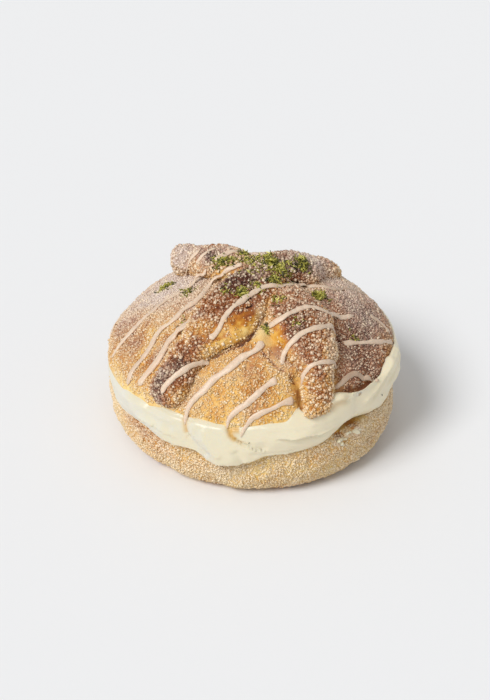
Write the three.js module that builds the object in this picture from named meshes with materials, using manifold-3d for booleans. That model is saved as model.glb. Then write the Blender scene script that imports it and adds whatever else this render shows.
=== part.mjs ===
// Filled pan de muerto: a sugared sweet bread cut across, filled with cream,
// its crown carrying two lumpy strips of dough that cross over the top.
// Millimetres, +Z up, origin at the middle of the flat base, front towards -Y.
import * as THREE from 'three';
import { mergeVertices } from 'three/addons/utils/BufferGeometryUtils.js';
import Module from 'manifold-3d';

const wasm = await Module();
wasm.setup();

// Clearance kept between neighbouring pieces.
const gap = 0.3;
// Lengths under this are rounding, not shape.
const tiny = 1e-5;
// Corners closer than this are the same corner.
const weld = 1e-4;
// Half the distance over which the dome's slope is measured.
const slopeStep = 0.5;

// Bottom bun: a round slice with a flat base, a rolled foot and a cut face on top.
const base = {
  footRadius: 46.5,
  bellyRadius: 55.8,
  bellyHeight: 12.2,
  shoulderRadius: 55.4,
  shoulderHeight: 18.1,
  rimRadius: 54.6,
  rimHeight: 24,
  stretch: 2.0,
  stretchAngle: -28,
  footSteps: 6,
  segments: 64,
};

// Crown: a domed cap whose cut face leans a little with the soft filling.
const crown = {
  radius: 56.8,
  stretch: 1.9,
  stretchAngle: -34,
  springHeight: 28.6,
  rise: 31.4,
  fullness: 2.1,
  cutHeight: 33.2,
  rimShare: 0.983,
  rimInset: 2.4,
  edgeShare: 0.999,
  swellingFade: 6,
  leanX: 0.046,
  leanY: -0.017,
  rings: 12,
  segments: 72,
};
// Broad swellings and hollows of the dome between the strips.
const swellings = [
  { x: -5, y: -42, reach: 14, height: 1.5 },
  { x: 9, y: -33, reach: 8, height: 0.8 },
  { x: -42, y: -10, reach: 15, height: 0.8 },
  { x: -42, y: 20, reach: 18, height: -3.6 },
  { x: 42, y: 16, reach: 15, height: -1.2 },
  { x: 43, y: -20, reach: 14, height: -1.3 },
  { x: 32, y: -2, reach: 12, height: 0.9 },
  { x: 2, y: 38, reach: 16, height: 0.8 },
];

// Cream: one layer right across, bulging past both cut faces.
const cream = {
  bottom: 22.8,
  top: 35.2,
  innerTop: 35,
  innerRadius: 50,
  crestRadius: 54.4,
  crestHeight: 36,
  radius: 56.4,
  bulge: 1.4,
  stretch: 0.4,
  stretchAngle: -20,
  sideSteps: 7,
  segments: 80,
  rippleDepth: 0.35,
  rippleCount: 11,
  rippleTwist: 5,
  rippleFade: 8,
};
// How a drip and a lip are carried through the layer: shares of the full move at
// the crest and at the top of the side, and how fast each fades inwards and downwards.
const spread = {
  dripFade: 12,
  dripFall: 2,
  dripTop: 0.4,
  lipFade: 2,
  lipTop: 0.5,
  lipFall: 6,
  lipOutFall: 4,
  crestOut: 0.75,
};
// Places round the layer where its lower edge runs down or draws back.
const drips = [
  { angle: -103, spread: 7, drop: 4.6, out: 1.8 },
  { angle: -93, spread: 6, drop: 3.2, out: 1.4 },
  { angle: -121, spread: 9, drop: 1.6, out: 1.0 },
  { angle: -76, spread: 8, drop: 1.0, out: 0.6 },
  { angle: -47, spread: 10, drop: -4.2, out: -1.8 },
  { angle: 2, spread: 14, drop: -0.6, out: 1.9 },
  { angle: 42, spread: 22, drop: 0.6, out: -2.2 },
  { angle: 118, spread: 9, drop: 2.0, out: 0.9 },
  { angle: 205, spread: 14, drop: 1.6, out: 0.4 },
];
// Places where the cream is spread up over the crown's lower edge.
const lips = [
  { angle: -57, spread: 8.5, rise: 5.8, out: 2.2 },
  { angle: -39, spread: 12, rise: 1.2, out: 1.7 },
  { angle: -20, spread: 13, rise: 2.0, out: 2.6 },
  { angle: 178, spread: 14, rise: -1.6, out: -0.9 },
];

// Dough strips: the footprint of the centre line, and at each station the strip's
// width, its thickness and how far its middle stands off the dome.
const overStrip = {
  stations: [
    { x: -34.9, y: -39.9, width: 13.6, thick: 10, lift: 0.8 },
    { x: -28.6, y: -36.6, width: 13.2, thick: 11, lift: 1.2 },
    { x: -21.4, y: -30.2, width: 14, thick: 11.5, lift: 1.2 },
    { x: -10.5, y: -19.5, width: 26.5, thick: 13, lift: 1.4 },
    { x: -1.5, y: -7.0, width: 24, thick: 11, lift: 2.6 },
    { x: 7.5, y: 4.5, width: 17, thick: 7.6, lift: 5.2 },
    { x: 17.0, y: 14.5, width: 24, thick: 12, lift: 1.6 },
    { x: 26.0, y: 22.5, width: 15, thick: 10.5, lift: -0.2 },
    { x: 35.2, y: 28.6, width: 13.5, thick: 10.5, lift: 0.0 },
  ],
  rings: 32,
  sides: 22,
};
const underStrip = {
  stations: [
    { x: -29.2, y: 29.8, width: 14.5, thick: 16, lift: 6 },
    { x: -21.5, y: 26.5, width: 12.5, thick: 11.5, lift: 3.4 },
    { x: -12.5, y: 19.5, width: 19, thick: 13, lift: 2.8 },
    { x: -1.0, y: 12.0, width: 17, thick: 10.5, lift: 0.6 },
    { x: 7.0, y: 3.0, width: 15, thick: 8, lift: -0.6 },
    { x: 12.5, y: -9.0, width: 19, thick: 11, lift: 0.8 },
    { x: 18.0, y: -21.5, width: 26, thick: 13.5, lift: 1.2 },
    { x: 22.0, y: -32.0, width: 19.5, thick: 13, lift: 1.0 },
    { x: 24.0, y: -41.5, width: 12.2, thick: 11, lift: 1.2 },
    { x: 22.8, y: -51.6, width: 13, thick: 10, lift: 1.2 },
  ],
  rings: 34,
  sides: 22,
};
// Share of a strip's length rounded off at each end, how far its rings are drawn
// towards the ends, and how deep its bed is cut.
const stripCap = 0.085;
const endPull = 0.5;
const bedDepth = 14;

const finishes = {
  dough: { color: 0xc98f4e, roughness: 0.85 },
  cream: { color: 0xf3e6c6, roughness: 0.45 },
  crust: { color: 0xc98f4e, roughness: 0.8 },
  brownCrust: { color: 0xb5763c, roughness: 0.75 },
};

const degrees = THREE.MathUtils.degToRad;

// Plan outline that is a little longer along one direction than across it.
function outline(radius, stretch, stretchAngle, angle) {
  return radius + stretch * Math.cos(2 * (angle - degrees(stretchAngle)));
}

function bell(distance, reach) {
  return Math.exp(-(distance * distance) / (reach * reach));
}

// How much of a place round the layer is felt at an angle.
function nearness(place, angle) {
  const away = angle - degrees(place.angle);
  return bell(Math.atan2(Math.sin(away), Math.cos(away)), degrees(place.spread));
}

function lean(x, y) {
  return crown.leanX * x + crown.leanY * y;
}

// Height of the crown's upper surface over a place in plan.
function crownTop(x, y) {
  const reach = outline(crown.radius, crown.stretch, crown.stretchAngle, Math.atan2(y, x));
  const share = Math.min(Math.hypot(x, y) / reach, crown.edgeShare);
  const dome = crown.springHeight + crown.rise * Math.sqrt(1 - share ** crown.fullness);
  const relief = swellings.reduce(
    (sum, place) => sum + place.height * bell(Math.hypot(x - place.x, y - place.y), place.reach),
    0,
  );
  return dome + relief * (1 - share ** crown.swellingFade) + lean(x, y);
}

// A three.js geometry made ready for joining and cutting: positions only,
// shared corners merged, and no triangle without area.
function closedGeometry(geometry) {
  const bare = geometry.clone();
  bare.deleteAttribute('normal');
  bare.deleteAttribute('uv');
  const merged = mergeVertices(bare, weld);
  const index = merged.index.array;
  const kept = [];
  for (let i = 0; i < index.length; i += 3) {
    const [a, b, c] = [index[i], index[i + 1], index[i + 2]];
    if (a !== b && b !== c && c !== a) kept.push(a, b, c);
  }
  merged.setIndex(kept);
  return merged;
}

function solidFrom(geometry) {
  const closed = closedGeometry(geometry);
  return new wasm.Manifold(new wasm.Mesh({
    numProp: 3,
    vertProperties: new Float32Array(closed.attributes.position.array),
    triVerts: new Uint32Array(closed.index.array),
  }));
}

function geometryFrom(solid) {
  const mesh = solid.getMesh();
  const geometry = new THREE.BufferGeometry();
  geometry.setAttribute('position', new THREE.BufferAttribute(mesh.vertProperties, 3));
  geometry.setIndex(new THREE.BufferAttribute(mesh.triVerts, 1));
  geometry.computeVertexNormals();
  return geometry;
}

// Lathe a profile about +Z, then move each vertex with shape(angle, radius, height).
function turned(profile, segments, shape) {
  const geometry = new THREE.LatheGeometry(profile.map(([r, z]) => new THREE.Vector2(r, z)), segments);
  geometry.rotateX(Math.PI / 2);
  const position = geometry.attributes.position;
  for (let i = 0; i < position.count; i += 1) {
    const x = position.getX(i);
    const y = position.getY(i);
    const radius = Math.hypot(x, y);
    const angle = Math.atan2(y, x);
    const placed = shape(radius < tiny ? 0 : angle, radius, position.getZ(i));
    position.setXYZ(i, placed.radius * Math.cos(angle), placed.radius * Math.sin(angle), placed.height);
  }
  return solidFrom(geometry);
}

function bottomBun(grow) {
  const profile = [[0, -grow], [base.footRadius, -grow]];
  for (let step = 1; step <= base.footSteps; step += 1) {
    const turn = (step / base.footSteps) * (Math.PI / 2);
    profile.push([
      base.footRadius + (base.bellyRadius - base.footRadius) * Math.sin(turn) + grow,
      base.bellyHeight * (1 - Math.cos(turn)),
    ]);
  }
  profile.push(
    [base.shoulderRadius + grow, base.shoulderHeight],
    [base.rimRadius + grow, base.rimHeight + grow],
    [0, base.rimHeight + grow],
  );
  return turned(profile, base.segments, (angle, radius, height) => ({
    radius: radius * outline(1, base.stretch / base.bellyRadius, base.stretchAngle, angle),
    height,
  }));
}

function creamLayer() {
  const profile = [[0, cream.bottom]];
  for (let step = 0; step <= cream.sideSteps; step += 1) {
    const share = step / cream.sideSteps;
    const height = cream.bottom + share * (cream.top - cream.bottom);
    profile.push([cream.radius + cream.bulge * Math.sin(share * Math.PI), height]);
  }
  profile.push([cream.crestRadius, cream.crestHeight], [cream.innerRadius, cream.top], [0, cream.innerTop]);
  return turned(profile, cream.segments, (angle, radius, height) => {
    const outer = Math.min(radius / cream.radius, 1);
    const high = Math.min((height - cream.bottom) / (cream.top - cream.bottom), 1);
    const crest = height > cream.top;
    const ripple = Math.sin(cream.rippleCount * angle + cream.rippleTwist * high);
    let out = cream.rippleDepth * ripple * outer ** cream.rippleFade;
    let up = 0;
    for (const drip of drips) {
      const share = nearness(drip, angle) * outer ** spread.dripFade;
      up -= drip.drop * share * (1 - high) ** spread.dripFall;
      out += drip.out * share * THREE.MathUtils.lerp(1, spread.dripTop, high);
    }
    for (const lip of lips) {
      const share = nearness(lip, angle) * outer ** spread.lipFade;
      up += lip.rise * share * (crest ? 1 : spread.lipTop * high ** spread.lipFall);
      out += lip.out * share * (crest ? spread.crestOut : high ** spread.lipOutFall);
    }
    const stretched = radius * outline(1, cream.stretch / cream.radius, cream.stretchAngle, angle);
    const tilt = lean(stretched * Math.cos(angle), stretched * Math.sin(angle)) * high;
    return { radius: stretched + out, height: height + up + tilt };
  });
}

// The crown as a solid, grown all round, its cut face lowered by a plug's depth.
// The profile's heights number its rings: 0 for the cut face, 1 for the rim and up.
function crownCap(grow, plug = 0) {
  const rimRadius = crown.radius * crown.rimShare;
  const profile = [[0, 0], [rimRadius - crown.rimInset, 0]];
  for (let step = 0; step < crown.rings; step += 1) {
    profile.push([rimRadius * Math.cos((step / crown.rings) * (Math.PI / 2)), 1 + step]);
  }
  profile.push([0, 1 + crown.rings]);
  return turned(profile, crown.segments, (angle, radius, level) => {
    const stretched = radius * outline(1, crown.stretch / crown.radius, crown.stretchAngle, angle);
    const x = stretched * Math.cos(angle);
    const y = stretched * Math.sin(angle);
    if (level < tiny) return { radius: stretched + grow, height: crown.cutHeight + lean(x, y) - grow - plug };
    const raised = level > 1 + tiny ? grow : 0;
    return { radius: stretched + grow * (radius / crown.radius), height: crownTop(x, y) + raised };
  });
}

// Direction straight out of the dome over a place in plan.
function crownNormal(x, y) {
  const slopeX = (crownTop(x + slopeStep, y) - crownTop(x - slopeStep, y)) / (2 * slopeStep);
  const slopeY = (crownTop(x, y + slopeStep) - crownTop(x, y - slopeStep)) / (2 * slopeStep);
  return new THREE.Vector3(-slopeX, -slopeY, 1).normalize();
}

// Smooth value between the stations of a strip, u running from 0 to 1 along it.
function stationValue(stations, key, u) {
  const place = THREE.MathUtils.clamp(u, 0, 1) * (stations.length - 1);
  const index = Math.min(Math.floor(place), stations.length - 2);
  return THREE.MathUtils.lerp(
    stations[index][key],
    stations[index + 1][key],
    THREE.MathUtils.smoothstep(place - index, 0, 1),
  );
}

// A rope of dough draped over the dome: a sphere drawn out along the strip's path.
function doughStrip(strip, grow) {
  const path = new THREE.CatmullRomCurve3(strip.stations.map(({ x, y, lift }) => (
    new THREE.Vector3(x, y, crownTop(x, y)).addScaledVector(crownNormal(x, y), lift))));
  const geometry = new THREE.SphereGeometry(1, strip.sides, strip.rings);
  const position = geometry.attributes.position;
  for (let i = 0; i < position.count; i += 1) {
    const pole = THREE.MathUtils.clamp(position.getY(i), -1, 1);
    const u = THREE.MathUtils.lerp(Math.acos(pole) / Math.PI, (1 - pole) / 2, endPull);
    const around = Math.atan2(position.getZ(i), position.getX(i));
    const toEnd = Math.min(u, 1 - u);
    const cap = toEnd < stripCap ? Math.sqrt(1 - (1 - toEnd / stripCap) ** 2) : 1;
    const tangent = path.getTangent(u);
    const point = path.getPoint(u);
    const side = new THREE.Vector3().crossVectors(crownNormal(point.x, point.y), tangent).normalize();
    const up = new THREE.Vector3().crossVectors(tangent, side).normalize();
    const halfWidth = (stationValue(strip.stations, 'width', u) / 2 + grow) * cap;
    const halfThick = (stationValue(strip.stations, 'thick', u) / 2 + grow) * cap;
    point.addScaledVector(side, Math.cos(around) * halfWidth);
    point.addScaledVector(up, Math.sin(around) * halfThick);
    position.setXYZ(i, point.x, point.y, point.z);
  }
  return solidFrom(geometry);
}

const bun = bottomBun(0);
const cap = crownCap(0);
const capClear = crownCap(gap);
const stripBed = crownCap(gap, bedDepth);
const overClear = doughStrip(overStrip, gap);
const underClear = doughStrip(underStrip, gap);
const over = doughStrip(overStrip, 0).subtract(stripBed);
const under = doughStrip(underStrip, 0).subtract(stripBed).subtract(overClear);
const filling = creamLayer()
  .subtract(bottomBun(gap))
  .subtract(capClear)
  .subtract(overClear)
  .subtract(underClear);

function piece(name, solid, finish) {
  const material = new THREE.MeshStandardMaterial({ name: finish, metalness: 0, ...finishes[finish] });
  const mesh = new THREE.Mesh(geometryFrom(solid), material);
  mesh.name = name;
  return mesh;
}

const bread = new THREE.Group();
bread.add(
  piece('bottom_bun', bun, 'dough'),
  piece('cream_filling', filling, 'cream'),
  piece('crown', cap, 'crust'),
  piece('strip_over', over, 'brownCrust'),
  piece('strip_under', under, 'brownCrust'),
);

export default bread;
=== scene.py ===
import math

import bpy
import numpy as np
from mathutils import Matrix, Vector
from mathutils.bvhtree import BVHTree


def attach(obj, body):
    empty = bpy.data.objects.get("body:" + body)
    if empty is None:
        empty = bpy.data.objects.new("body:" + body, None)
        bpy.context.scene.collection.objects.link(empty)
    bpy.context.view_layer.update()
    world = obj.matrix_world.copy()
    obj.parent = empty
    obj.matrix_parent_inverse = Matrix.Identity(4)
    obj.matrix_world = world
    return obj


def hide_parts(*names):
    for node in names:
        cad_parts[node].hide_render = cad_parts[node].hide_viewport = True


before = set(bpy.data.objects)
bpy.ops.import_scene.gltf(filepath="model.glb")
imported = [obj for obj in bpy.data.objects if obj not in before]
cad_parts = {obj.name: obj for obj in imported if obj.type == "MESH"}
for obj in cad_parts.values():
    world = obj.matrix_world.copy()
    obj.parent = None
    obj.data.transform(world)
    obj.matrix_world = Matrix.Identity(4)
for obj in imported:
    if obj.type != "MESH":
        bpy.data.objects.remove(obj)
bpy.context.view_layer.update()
mm = 0.001
tau = 2 * math.pi


def onlySelect(piece):
    bpy.ops.object.select_all(action="DESELECT")
    piece.select_set(True)
    bpy.context.view_layer.objects.active = piece


def applyModifier(piece, kind, **settings):
    onlySelect(piece)
    bpy.ops.object.modifier_add(type=kind)
    modifier = piece.modifiers[-1]
    for key, value in settings.items():
        setattr(modifier, key, value)
    bpy.ops.object.modifier_apply(modifier=modifier.name)


def pointsOf(piece):
    values = np.empty(len(piece.data.vertices) * 3)
    piece.data.vertices.foreach_get("co", values)
    return values.reshape(-1, 3) / mm


def setPoints(piece, points):
    piece.data.vertices.foreach_set("co", (points * mm).ravel())
    piece.data.update()


def normalsOf(piece):
    values = np.empty(len(piece.data.vertices) * 3)
    piece.data.vertex_normals.foreach_get("vector", values)
    return values.reshape(-1, 3)


# moves a piece's surface out along its normals
def swell(piece, out):
    setPoints(piece, pointsOf(piece) + normalsOf(piece) * np.reshape(out, (-1, 1)))


def paint(piece, name, values):
    layer = piece.data.attributes.get(name) or piece.data.attributes.new(name, "FLOAT", "POINT")
    layer.data.foreach_set("value", np.clip(values, 0, 1).astype(np.float32))


def painted(piece, name):
    values = np.empty(len(piece.data.vertices), np.float32)
    piece.data.attributes[name].data.foreach_get("value", values)
    return values.astype(float)


def ease(low, high, values):
    share = np.clip((values - low) / (high - low), 0, 1)
    return share * share * (3 - 2 * share)


# smooth random relief, from about -1 to 1, with lumps of the given size
def lumps(points, size, seed):
    # a random number for each corner of a turned grid, smoothly joined up
    turn, _ = np.linalg.qr(np.random.default_rng(seed).normal(size=(3, 3)))
    place = points @ turn / size
    cell = np.floor(place).astype(np.int64)
    share = place - cell
    share = share ** 3 * (share * (share * 6 - 15) + 10)
    total = np.zeros(len(points))
    for corner in np.ndindex(2, 2, 2):
        x, y, z = (cell + corner).T
        code = (x * 374761393 + y * 668265263 + z * 1442695041 + seed * 974634777) & 0xffffffff
        code = ((code ^ (code >> 13)) * 1274126177) & 0xffffffff
        code = ((code ^ (code >> 16)) * 2246822519) & 0xffffffff
        value = ((code ^ (code >> 15)) & 0xffff) / 32767.5 - 1
        weight = np.where(np.array(corner) == 1, share, 1 - share).prod(1)
        total += value * weight
    return total


# several layers of lumps, each with its size, depth and seed
def layered(points, layers):
    return sum(depth * lumps(points, size, seed) for size, depth, seed in layers)


# soft spots, placed in plan (x, y) or in full (x, y, z): each adds its amount, fading over its reach
def spotSum(points, spots):
    total = np.zeros(len(points))
    for *place, reach, amount in spots:
        away = np.linalg.norm(points[:, :len(place)] - place, axis=1)
        total += amount * np.exp(-(away / reach) ** 2)
    return total


def anglesOf(points):
    return np.degrees(np.arctan2(points[:, 1], points[:, 0]))


# degrees round the bread from a given angle, from -180 to 180
def turnFrom(points, angle):
    return (anglesOf(points) - angle + 180) % 360 - 180


def fromMiddle(points):
    return np.hypot(points[:, 0], points[:, 1])


# a value that changes softly around the bread, from (angle in degrees, value) pairs
def aroundBread(points, knots):
    angles = anglesOf(points)
    at, values = zip(*knots)
    return sum(np.interp(angles + turn, at, values, period=360) for turn in (-4, 0, 4)) / 3


# distance to a bent line, which side of it a point is on, and the share along it
def alongLine(flat, line):
    line = np.array(line, float)
    steps = np.hypot(*(line[1:] - line[:-1]).T)
    starts = np.concatenate([[0], np.cumsum(steps)])
    best = np.full(len(flat), np.inf)
    side = np.ones(len(flat))
    share = np.zeros(len(flat))
    for i, step in enumerate(steps):
        way = (line[i + 1] - line[i]) / step
        rel = flat - line[i]
        run = np.clip(rel @ way, 0, step)
        off = rel - run[:, None] * way
        away = np.hypot(off[:, 0], off[:, 1])
        near = away < best
        best[near] = away[near]
        side[near] = np.sign(way[0] * rel[near, 1] - way[1] * rel[near, 0])
        share[near] = (starts[i] + run[near]) / starts[-1]
    return best, side, share


def turnOutward(piece, merge=0):
    onlySelect(piece)
    bpy.ops.object.mode_set(mode="EDIT")
    bpy.ops.mesh.select_all(action="SELECT")
    if merge:
        bpy.ops.mesh.remove_doubles(threshold=merge * mm)
    bpy.ops.mesh.normals_make_consistent(inside=False)
    bpy.ops.object.mode_set(mode="OBJECT")


def copyOfNode(node, name):
    onlySelect(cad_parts[node])
    bpy.ops.object.duplicate()
    piece = bpy.context.view_layer.objects.active
    piece.name = piece.data.name = name
    piece.parent = None
    for key in list(piece.keys()):
        del piece[key]
    piece.data.materials.clear()
    turnOutward(piece, merge=0.01)
    return piece


# the node's solid again, in an even fine mesh with its facets smoothed away, plumped first so
# that thin parts keep their thickness
def skinOf(node, name, fine, softening, plump=0):
    piece = copyOfNode(node, name)
    swell(piece, plump)
    applyModifier(piece, "REMESH", mode="VOXEL", voxel_size=fine * mm, use_smooth_shade=True)
    applyModifier(piece, "SMOOTH", factor=0.5, iterations=softening)
    return piece


def treeOf(*pieces):
    corners, faces = [], []
    for piece in pieces:
        start = len(corners)
        corners += [v.co / mm for v in piece.data.vertices]
        faces += [[start + i for i in face.vertices] for face in piece.data.polygons]
    return BVHTree.FromPolygons(corners, faces)


def distanceTo(tree, points):
    return np.array([tree.find_nearest(Vector(point))[3] for point in points])


# cream over a crust is looked for beyond this distance from the middle, and this far up
creamCover = {"inner": 44, "overhang": 3}


# 0 where the cream lies over a crust or close to it, 1 where the crust is free
def freeOf(tree, piece, near, clear):
    points, normals = pointsOf(piece), normalsOf(piece)
    share = ease(near, clear, distanceTo(tree, points))
    for i in np.where((share > 0) & (fromMiddle(points) > creamCover["inner"]))[0]:
        if tree.ray_cast(Vector(points[i]), Vector(normals[i]), creamCover["overhang"])[0] is not None:
            share[i] = 0
    return share


print("cream")
creamPlan = {
    "fine": 0.58, "softening": 14, "plump": 0.5, "radius": 57.5,
    # distances from the middle between which its side begins and its inside ends, and the lip's heights
    "side": (50, 54), "inside": (50, 46), "lip": (31, 36),
    # each slow wave of its surface: size, depth, seed, how much flatter than wide
    "waves": [(9, 0.3, 61, 2.0), (4, 0.14, 62, 2.2)],
    # ridges and grooves, each with its width, how far it stands out, then (angle in degrees, height)
    # along it
    "ridges": [
        (0.8, -0.9, [(-117.4, 37), (-116.6, 35), (-116, 32.5), (-115, 30), (-113.5, 27.5)]),
        (0.8, 0.5, [(-114, 34.8), (-108, 34.8), (-103, 34.4), (-99, 34.4)]),
        (1.8, -0.35, [(-113, 31.6), (-106, 31.6), (-101, 30.8)]),
        (0.8, -0.9, [(-99, 36), (-98.4, 33.8), (-97, 31.8), (-95, 30.2), (-92.5, 28.8), (-90, 27.4)]),
        (1, 0.5, [(-87, 35.4), (-76, 35.4), (-64, 35)]),
        (1, 0.5, [(-150, 31), (-140, 32), (-128, 32.4), (-118, 33)]),
        (1.5, -0.35, [(-142, 29.5), (-130, 30), (-120, 29)]),
        (0.9, -0.4, [(-92, 25), (-86, 23.4), (-78, 23), (-70, 23.6)]),
        (0.8, 0.6, [(-60, 43.4), (-57, 43.4), (-54, 42.8), (-51, 41.6), (-47, 39.4)]),
        (1.3, -0.6, [(-60, 40.6), (-55, 40.4), (-49, 38.8)]),
        (1, 1, [(-44, 34), (-34, 36.5), (-26, 39.4), (-17, 41)]),
        (1, -0.7, [(-38, 32.5), (-28, 35), (-18, 37)]),
        (1.8, 0.8, [(-30, 27.5), (-18, 28.5), (-6, 29)]),
        (1.1, 0.7, [(-26, 31), (-14, 33.5), (-4, 34)]),
        (2.2, -0.9, [(-115, 29.4), (-112.8, 26.8), (-110, 24.4), (-106, 21.6)]),
        (1.8, 0.7, [(-109, 34.4), (-107.6, 30), (-105, 26), (-101, 22.6)]),
        (1.6, -0.7, [(-96, 27), (-94.6, 23.6), (-93.4, 20), (-93, 17)]),
        (1.6, -0.35, [(-136, 34), (-131, 31), (-127, 27)]),
    ],
    # flat folds standing proud all over, out to a soft edge: width, edge, how far out, its way
    "folds": [
        (6.6, 4.4, 0.7, [(-106.4, 38), (-106, 30), (-103.5, 24), (-101, 17)]),
        (4.5, 5, 0.6, [(-160, 27.5), (-139, 28), (-122, 26)]),
        (3.6, 3, 0.6, [(-78, 34.6), (-60, 35), (-46, 36)]),
    ],
    # one layer ends over another, proud above the line and low below it: width, how far out, its way
    "steps": [
        (2.2, -0.8, [(-97.5, 32.4), (-95, 30.2), (-92, 28.4), (-89, 26.6), (-84, 25)]),
        (2.4, 1.5, [(-82, 31.2), (-76, 31), (-70, 30.8), (-65, 29.8), (-60, 29.6), (-55, 29.8), (-50, 31),
            (-45, 33)]),
        (2.6, 0.5, [(-141, 26.5), (-130, 27.6), (-119, 26)]),
        (1.6, 0.8, [(-26, 36), (-18, 38), (-8, 38)]),
    ],
    "below": -0.5,
    # its lip smeared up over the crown: angle, spread, rise and how far it leans in
    "tongues": [(-71.5, 3.2, 4.2, 2.4), (-45, 3.4, 1.2, 0.3), (-38, 3, 0.9, 0.2)], "root": (32, 36.5),
    # thinner at the left, and its lip lower in front
    "slim": [(-180, 0.5), (-168, 0.9), (-150, 0.3), (-135, 0), (150, 0)],
    "lower": [(-180, 0), (-118, 0), (-110, 0.7), (-104, 1.4), (-98, 1), (-90, 0.2), (-80, 0), (170, 0)],
    # around the back the cream is left as the knife left it
    "sweeps": {"seed": 60, "from": -12, "to": 205, "count": 9, "width": 2.4, "out": 0.55,
               "reach": 16, "height": (26, 35), "tilt": 3, "bow": 1},
    # brown along creases, each with its width, how strongly, its way: crust showing through where the cream
    # is thinnest, painted shade in the creases, and a painted shadow beside the under strip's end
    "stainsAndShades": [
        (1, 0.75, [(-117, 36.4), (-116.2, 34.4), (-115.6, 32), (-115, 29.6)]),
        (0.9, 1.1, [(-99.4, 37.4), (-98.8, 35), (-98, 33), (-96.8, 31.8), (-95.4, 31)]),
        (0.6, 0.5, [(-97, 32), (-94.8, 30.4), (-93, 29.4)]),
        (1.5, 1, [(-98.4, 35.6), (-96.6, 35), (-94.6, 35.4)]),
        (1.6, 0.45, [(-63, 42), (-59, 40.6), (-54, 40.8), (-50, 40)]),
    ],
    # painted shade on the cream: greyer where it faces the light, and greyer still on its left side
    "litSide": (-0.68, -0.5, 0.54), "paintedShade": (0.35, 1), "leftFacing": (0.35, 0.85), "leftSideShade": 0.9,
}


# the knife's sweeps as marks like the ridges
def sweepMarks(plan):
    rng = np.random.default_rng(plan["seed"])
    first, last, count, reach = plan["from"], plan["to"], plan["count"], plan["reach"]
    marks = []
    for k in range(count):
        middle = first + (last - first) * (k + rng.uniform(0.2, 0.8)) / count
        low, tilt = rng.uniform(*plan["height"]), rng.uniform(-plan["tilt"], plan["tilt"])
        bow = rng.uniform(-plan["bow"], plan["bow"])
        line = [(middle - reach, low - tilt), (middle, low + bow), (middle + reach, low + tilt)]
        width = plan["width"] * rng.uniform(0.5, 1.2)
        marks.append((width, plan["out"] * rng.choice([-1, 1]), line))
    return marks


# each mark's own numbers, then how far points are from it, on which side, and its fade at both ends
def alongMarks(points, marks):
    radius = creamPlan["radius"]
    for *numbers, line in marks:
        middle = line[len(line) // 2][0]
        unrolled = np.stack([np.radians(turnFrom(points, middle)) * radius, points[:, 2]], 1)
        flatLine = [(math.radians(angle - middle) * radius, z) for angle, z in line]
        away, side, share = alongLine(unrolled, flatLine)
        yield numbers, away, side, ease(0, 0.15, share) * ease(0, 0.15, 1 - share)


def shapeCream(cream, plan):
    points, normals = pointsOf(cream), normalsOf(cream)
    around = fromMiddle(points)
    outward = (points[:, :2] * normals[:, :2]).sum(1) / np.maximum(around, 1)
    # the plumping is taken off again where the cream shows and where the crown sits in it
    plumped = np.maximum(ease(0, 0.4, outward), ease(*plan["inside"], around))
    points -= normals * (plan["plump"] * plumped)[:, None]
    rim = ease(*plan["side"], around)
    points[:, :2] *= 1 - (aroundBread(points, plan["slim"]) * rim / np.maximum(around, 1))[:, None]
    points[:, 2] -= aroundBread(points, plan["lower"]) * rim * ease(*plan["lip"], points[:, 2])
    for angle, spread, rise, lean in plan["tongues"]:
        share = np.exp(-(turnFrom(points, angle) / spread) ** 2) * rim * ease(*plan["root"], points[:, 2])
        points[:, 2] += rise * share
        points[:, :2] *= 1 - (lean * share / np.maximum(around, 1))[:, None]
    push = sum(out * lumps(points * [1, 1, flatter], size, seed)
               for size, out, seed, flatter in plan["waves"])
    for (width, out), away, _, fade in alongMarks(points, plan["ridges"] + sweepMarks(plan["sweeps"])):
        push += out * np.exp(-(away / width) ** 2) * fade
    for (width, edge, out), away, _, fade in alongMarks(points, plan["folds"]):
        push += out * ease(width + edge / 2, width - edge / 2, away) * fade
    for (width, out), away, side, fade in alongMarks(points, plan["steps"]):
        push += out * np.where(side > 0, 1, plan["below"]) * np.exp(-away / width) * fade
    setPoints(cream, points + normals * (push * rim)[:, None])
    # brown along the creases: partly crust showing through, partly painted shade and a painted shadow
    stainAndShade = np.zeros(len(points))
    for (width, amount), away, _, fade in alongMarks(points, plan["stainsAndShades"]):
        stainAndShade += amount * np.exp(-(away / width) ** 2) * fade
    paint(cream, "stainAndShade", stainAndShade)
    # painted shade, greyer on the side that faces the light and on the left
    paint(cream, "paintedShade", ease(*plan["paintedShade"], normalsOf(cream) @ plan["litSide"]))
    paint(cream, "leftSideShade", plan["leftSideShade"] * ease(*plan["leftFacing"], -normalsOf(cream)[:, 0]))


cream = skinOf("cream_filling", "whipped_cream",
               creamPlan["fine"], creamPlan["softening"], creamPlan["plump"])
shapeCream(cream, creamPlan)
creamTree = treeOf(cream)

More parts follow.
